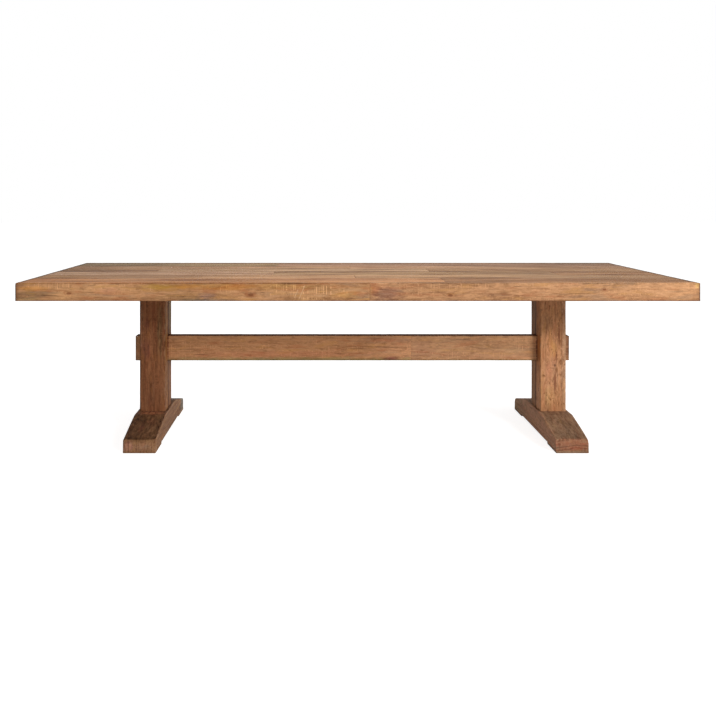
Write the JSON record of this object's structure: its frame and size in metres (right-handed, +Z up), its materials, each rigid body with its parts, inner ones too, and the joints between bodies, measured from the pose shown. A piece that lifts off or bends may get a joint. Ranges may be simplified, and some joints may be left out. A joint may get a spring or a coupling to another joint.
{
  "type": "trestle dining table",
  "caption": "Long dining table with a thick-edged plank top on two square posts with sloping sled feet, tied by a low stretcher whose ends pass through the posts.",
  "frame": {"origin": "on the floor, under the middle of the top", "axes": "+X along the table towards the end of the stretcher's shorter length, +Y from the front edge to the rear edge, +Z up"},
  "size_m": [2.9, 1, 0.772],
  "materials": {
    "top_wood": "sanded reclaimed teak planks with a thin matt wax",
    "edge_wood": "band-sawn reclaimed teak, lightly sanded and waxed",
    "dark_post_wood": "dark reddish reclaimed teak, waxed",
    "light_post_wood": "warm mid-brown reclaimed teak, waxed",
    "foot_wood": "greyed reclaimed teak, waxed",
    "stretcher_wood": "reclaimed teak, waxed",
    "underframe_wood": "planed teak, unfinished",
    "spline_wood": "planed hardwood, unfinished",
    "peg_wood": "turned hardwood, waxed",
    "zinc_steel": "zinc-plated"
  },
  "bodies": {
    "root": {"edge_loose_tenons": "spline_wood", "front_edge_board_left": "edge_wood", "front_edge_board_right": "edge_wood", "lag_screws": "zinc_steel", "left_batten": "underframe_wood", "left_end_rail": "underframe_wood", "left_foot": "foot_wood", "left_foot_front_pad": "foot_wood", "left_foot_rear_pad": "foot_wood", "left_head_bearer": "underframe_wood", "left_post_front_stave": "dark_post_wood", "left_post_rear_stave": "dark_post_wood", "middle_batten": "underframe_wood", "plank_row1_left": "top_wood", "plank_row1_right": "top_wood", "plank_row2_left": "top_wood", "plank_row2_right": "top_wood", "plank_row3_left": "top_wood", "plank_row3_middle": "top_wood", "plank_row3_right": "top_wood", "plank_row4_left": "top_wood", "plank_row4_middle": "top_wood", "plank_row4_right": "top_wood", "plank_row5_left": "top_wood", "plank_row5_right": "top_wood", "plank_row6_left": "top_wood", "plank_row6_right": "top_wood", "plank_splines": "spline_wood", "rear_edge_board_left": "edge_wood", "rear_edge_board_right": "edge_wood", "right_batten": "underframe_wood", "right_end_rail": "underframe_wood", "right_foot": "foot_wood", "right_foot_front_pad": "foot_wood", "right_foot_rear_pad": "foot_wood", "right_head_bearer": "underframe_wood", "right_post_front_stave": "light_post_wood", "right_post_rear_stave": "light_post_wood", "stretcher_left_length": "stretcher_wood", "stretcher_pegs": "peg_wood", "stretcher_right_length": "stretcher_wood", "top_screws": "zinc_steel"}
  },
  "joints": []
}
